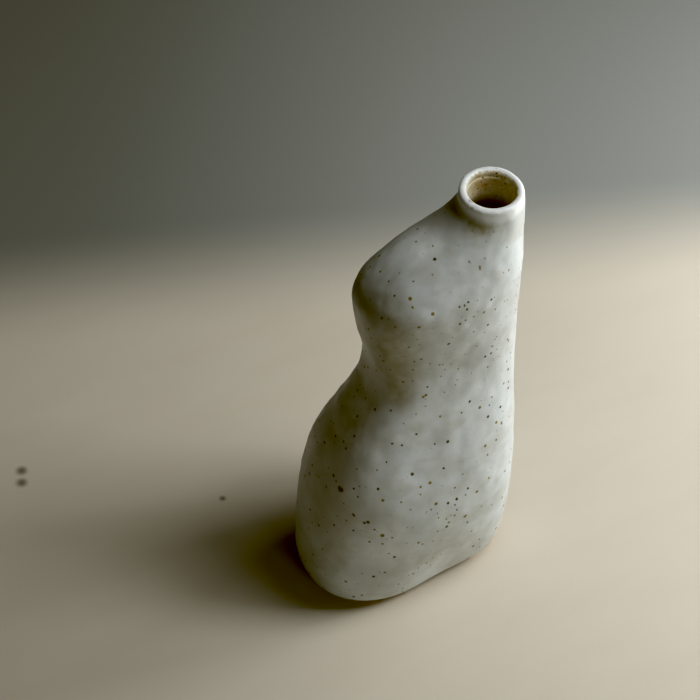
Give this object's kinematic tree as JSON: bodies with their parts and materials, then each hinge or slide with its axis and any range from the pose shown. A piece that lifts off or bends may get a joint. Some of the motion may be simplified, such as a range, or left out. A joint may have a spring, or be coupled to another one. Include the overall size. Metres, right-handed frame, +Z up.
{
  "type": "stoneware vase",
  "caption": "Hand-built stoneware bottle vase with an off-centre round mouth, squeezed waist, pale speckled glaze and bare foot.",
  "frame": {"origin": "on the plane of the foot, under the middle of the vase's box in plan", "axes": "+Z up from the foot to the mouth, -Y the broad front, +X the side that the mouth stands over"},
  "size_m": [0.1048, 0.0791, 0.2107],
  "materials": {
    "bare_clay": "matt toasted stoneware with fine iron grains",
    "pale_glaze": "satin off-white glaze with brown and black iron specks",
    "clear_liner": "thin clear glaze over golden brown clay"
  },
  "bodies": {
    "root": {"base_slab": "bare_clay", "belly_wall": "bare_clay", "waist_wall": "bare_clay", "shoulder_wall": "bare_clay", "crown_wall": "bare_clay", "neck_collar": "bare_clay", "rolled_lip": "bare_clay", "outer_glaze": "pale_glaze", "liner_glaze": "clear_liner"}
  },
  "joints": []
}
